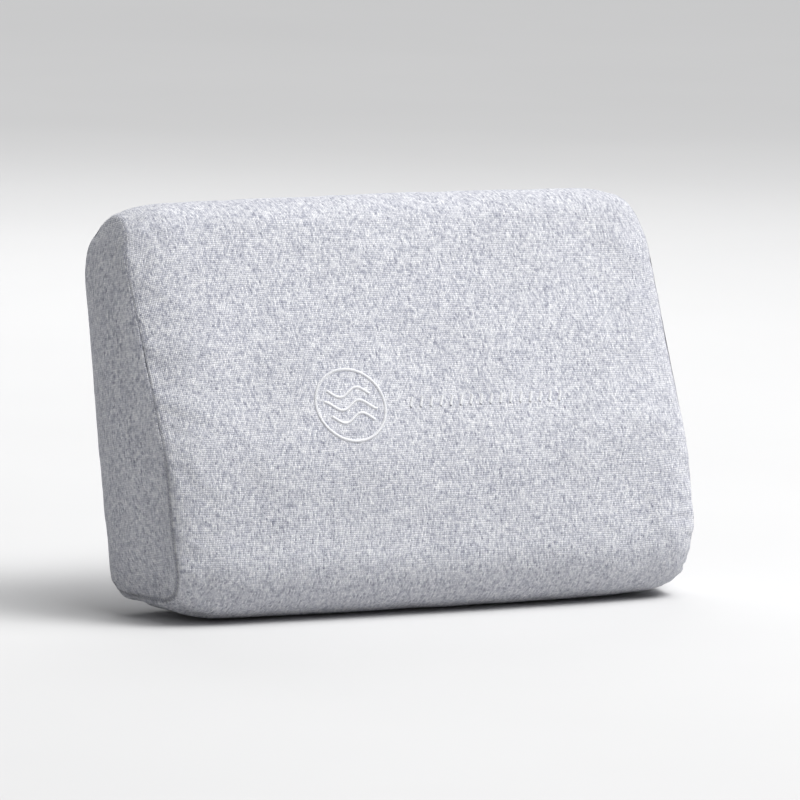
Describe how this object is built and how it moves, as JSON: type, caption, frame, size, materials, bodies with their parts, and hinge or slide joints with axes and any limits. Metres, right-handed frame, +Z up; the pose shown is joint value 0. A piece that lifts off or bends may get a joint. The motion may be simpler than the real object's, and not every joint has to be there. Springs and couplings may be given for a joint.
{
  "type": "lumbar support cushion",
  "caption": "Wedge-shaped lumbar support cushion with a zipped fabric cover, foam core and an elastic strap with a side-release buckle across its flat back.",
  "frame": {"origin": "centre of the flat patch the cushion rests on, at mid-width", "axes": "+Z up, +X across the cushion to the sitter-facing viewer's right, front facing -Y, back leaning 13 degrees towards +Y as it does in use"},
  "size_m": [0.316, 0.1145, 0.2053],
  "materials": {
    "cover_fabric": "matte",
    "zip_tape": "matte",
    "zip_coil": "satin",
    "zip_metal": "satin",
    "strap_webbing": "matte",
    "buckle_plastic": "matte",
    "thread_light": "satin",
    "thread_dark": "matte",
    "label_satin": "satin",
    "liner_knit": "matte",
    "foam": "matte"
  },
  "bodies": {
    "cushion": {"front_panel": "cover_fabric", "left_side_panel": "cover_fabric", "right_side_panel": "cover_fabric", "back_panel_upper": "cover_fabric", "back_panel_lower": "cover_fabric", "inner_liner": "liner_knit", "foam_core": "foam", "zipper_tape_upper": "zip_tape", "zipper_tape_lower": "zip_tape", "zipper_coil_upper": "zip_coil", "zipper_coil_lower": "zip_coil", "zipper_top_stops": "zip_metal", "zipper_bottom_stop": "zip_metal", "strap_left": "strap_webbing", "strap_right": "strap_webbing", "strap_bar_tacks": "thread_dark", "buckle_socket": "buckle_plastic", "care_label": "label_satin", "emblem_stitching": "thread_light"},
    "zip_slider_body": {"zipper_slider": "zip_metal"},
    "zip_pull_body": {"zipper_pull": "zip_metal"},
    "buckle_plug_body": {"buckle_plug": "buckle_plastic"},
    "adjuster_body": {"strap_adjuster": "buckle_plastic"}
  },
  "joints": [
    {"name": "zip_run", "type": "slide", "parent": "cushion", "child": "zip_slider_body", "axis": [-1, 0, 0], "range_m": [0, 0.232], "deforming": ["zipper_coil_upper", "zipper_coil_lower"]},
    {"name": "pull_flip", "type": "hinge", "parent": "zip_slider_body", "child": "zip_pull_body", "pos_m": [0.1165, 0.04194, 0.05415], "axis": [0, -0.225, -0.9744], "range_deg": [0, 170]},
    {"name": "buckle_release", "type": "slide", "parent": "cushion", "child": "buckle_plug_body", "axis": [1, 0, 0], "range_m": [0, 0.026], "deforming": ["buckle_plug", "strap_right"]},
    {"name": "strap_adjust", "type": "slide", "parent": "cushion", "child": "adjuster_body", "axis": [1, 0, 0], "range_m": [-0.018, 0.018]}
  ]
}
